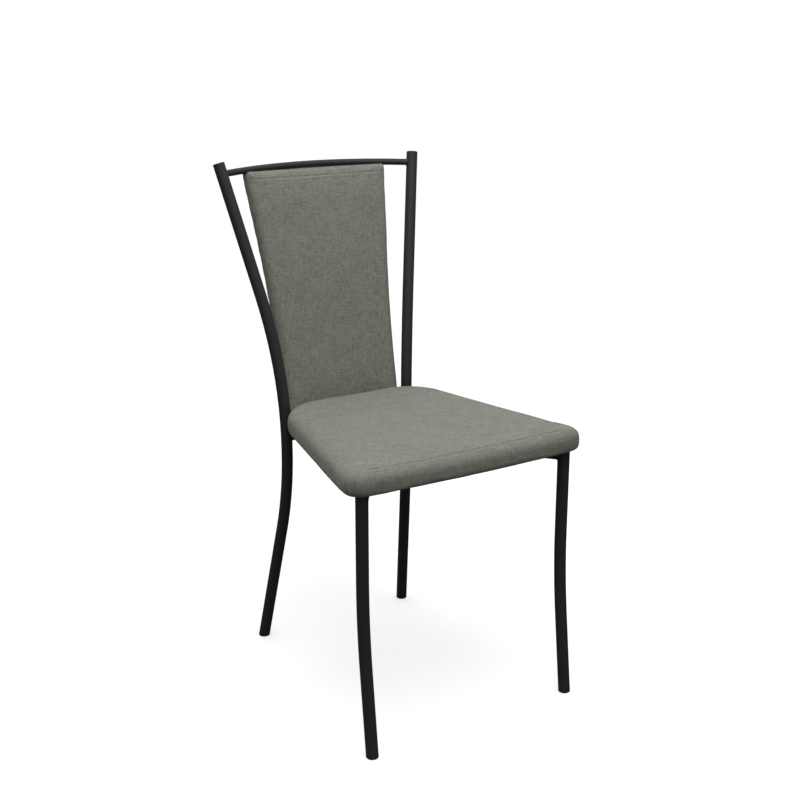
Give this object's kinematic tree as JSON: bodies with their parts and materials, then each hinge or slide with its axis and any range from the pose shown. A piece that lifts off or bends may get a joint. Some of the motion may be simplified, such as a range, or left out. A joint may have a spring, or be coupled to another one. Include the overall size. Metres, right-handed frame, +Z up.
{
  "type": "dining chair",
  "caption": "Armless dining chair with a bent steel tube frame, flaring back posts, a floating curved back panel and an upholstered tapered seat.",
  "frame": {"origin": "middle of the chair's overall box, on the floor", "axes": "+Z up, the sitter faces -Y, +X to the chair's left as the sitter sees it, X = 0 is the plane of symmetry"},
  "size_m": [0.4908, 0.6032, 0.9682],
  "materials": {
    "frame_paint": "black satin powder coat on steel tube",
    "plug_plastic": "black moulded plastic, satin",
    "glide_plastic": "black moulded plastic, slightly scuffed",
    "seat_fabric": "warm grey plain weave with slubs, two-tone yarns",
    "back_fabric": "warm grey plain weave with slubs, two-tone yarns",
    "dust_cloth": "black non-woven cloth",
    "foam": "polyurethane foam",
    "plywood": "raw beech plywood",
    "fixings": "zinc plated steel"
  },
  "bodies": {
    "root": {"back_board": "plywood", "back_cover": "back_fabric", "back_foam": "foam", "back_screws": "fixings", "back_tab_lower_left": "frame_paint", "back_tab_lower_right": "frame_paint", "back_tab_upper_left": "frame_paint", "back_tab_upper_right": "frame_paint", "back_tee_nuts": "fixings", "back_washers": "fixings", "brace_front_half": "frame_paint", "brace_long": "frame_paint", "brace_rear_half": "frame_paint", "front_glide_left": "glide_plastic", "front_glide_right": "glide_plastic", "front_leg_left": "frame_paint", "front_leg_right": "frame_paint", "leg_plug_left": "plug_plastic", "leg_plug_right": "plug_plastic", "lower_back_rail": "frame_paint", "post_cap_left": "plug_plastic", "post_cap_right": "plug_plastic", "rear_glide_left": "glide_plastic", "rear_glide_right": "glide_plastic", "rear_upright_left": "frame_paint", "rear_upright_right": "frame_paint", "seat_board": "plywood", "seat_cover": "seat_fabric", "seat_dust_cover": "dust_cloth", "seat_foam": "foam", "seat_screws": "fixings", "seat_tab_front_left": "frame_paint", "seat_tab_front_right": "frame_paint", "seat_tab_rear_left": "frame_paint", "seat_tab_rear_right": "frame_paint", "seat_tee_nuts": "fixings", "seat_washers": "fixings", "top_rail": "frame_paint"}
  },
  "joints": []
}
